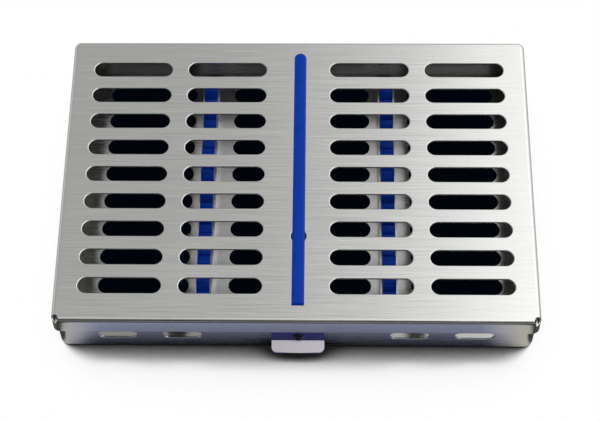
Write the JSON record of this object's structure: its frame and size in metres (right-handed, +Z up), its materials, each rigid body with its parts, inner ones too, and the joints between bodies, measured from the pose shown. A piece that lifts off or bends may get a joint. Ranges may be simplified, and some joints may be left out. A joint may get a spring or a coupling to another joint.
{
  "type": "dental instrument cassette",
  "caption": "Flat slotted steel tray and slotted lid for dental instruments, hinged at the rear, with a spring latch, silicone racks and a hold-down strip.",
  "frame": {"origin": "middle of the tray's underside, where the cassette stands", "axes": "+X to the right as seen from the latch, +Y to the rear, towards the hinges, +Z up"},
  "size_m": [0.206, 0.1522, 0.0271],
  "materials": {
    "stainless_sheet": "fine straight grain",
    "rivet_steel": "plain",
    "pin_steel": "polished",
    "blue_silicone": "satin"
  },
  "bodies": {
    "tray": {"base_tray": "stainless_sheet", "left_rack_channel": "stainless_sheet", "right_rack_channel": "stainless_sheet", "left_rack_insert": "blue_silicone", "right_rack_insert": "blue_silicone", "left_hinge_tray_leaf": "stainless_sheet", "right_hinge_tray_leaf": "stainless_sheet", "left_hinge_pin": "pin_steel", "right_hinge_pin": "pin_steel"},
    "lid": {"lid": "stainless_sheet", "hold_down_strip": "blue_silicone", "left_hinge_lid_leaf": "stainless_sheet", "right_hinge_lid_leaf": "stainless_sheet"},
    "latch": {"latch_tongue": "stainless_sheet", "latch_rivet": "rivet_steel"}
  },
  "joints": [
    {"name": "lid_hinge", "type": "hinge", "parent": "tray", "child": "lid", "pos_m": [0, 0.07364, 0.0149], "axis": [-1, 0, 0], "range_deg": [0, 180]},
    {"name": "latch_flex", "type": "hinge", "parent": "lid", "child": "latch", "pos_m": [0.0009, -0.072, 0.0165], "axis": [-1, 0, 0], "range_deg": [0, 20], "stiffness_Nm_per_rad": 0.6}
  ]
}
